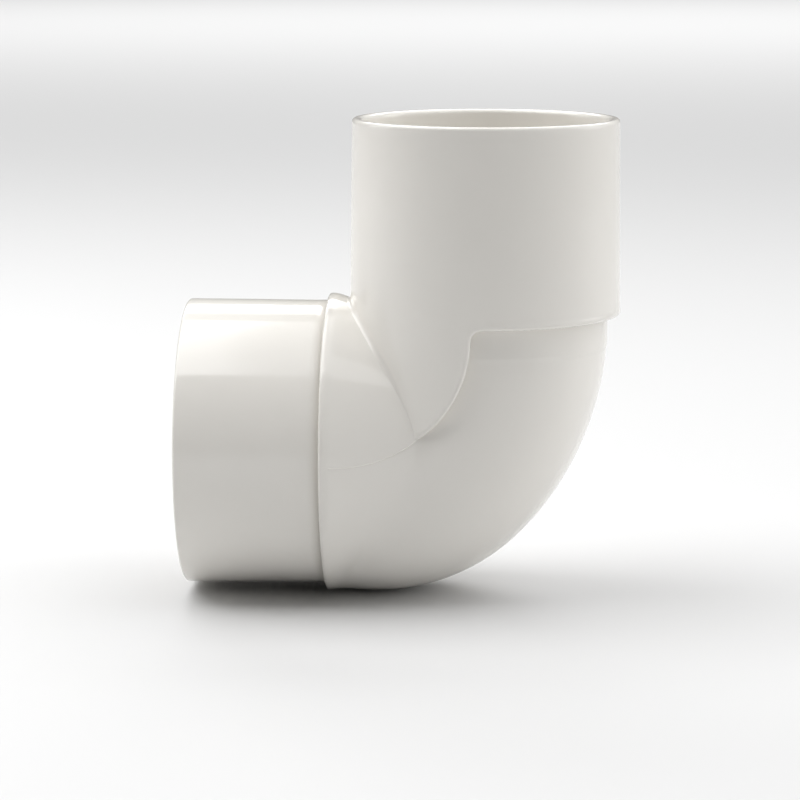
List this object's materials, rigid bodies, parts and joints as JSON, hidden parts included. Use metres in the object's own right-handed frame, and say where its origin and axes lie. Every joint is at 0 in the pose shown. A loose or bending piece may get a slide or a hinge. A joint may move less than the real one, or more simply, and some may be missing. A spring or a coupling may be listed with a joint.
{
  "type": "pipe elbow",
  "caption": "White rigid-PVC ninety-degree elbow for 110 mm pressure pipe: a solvent-weld socket, a bent tube narrowing from a collar, and an upright spigot with a swept skirt.",
  "frame": {"origin": "centre of the socket's stop, where the end of the pipe seats", "axes": "-X along the socket out of its mouth, +Z along the spigot towards its rim, both pipe axes in the plane Y = 0"},
  "size_m": [0.1797, 0.1242, 0.1975],
  "materials": {
    "white_pvc": "glossy warm-white injection-moulded rigid PVC"
  },
  "bodies": {
    "root": {"socket_sleeve": "white_pvc", "bend_body": "white_pvc", "spigot_tube": "white_pvc"}
  },
  "joints": []
}
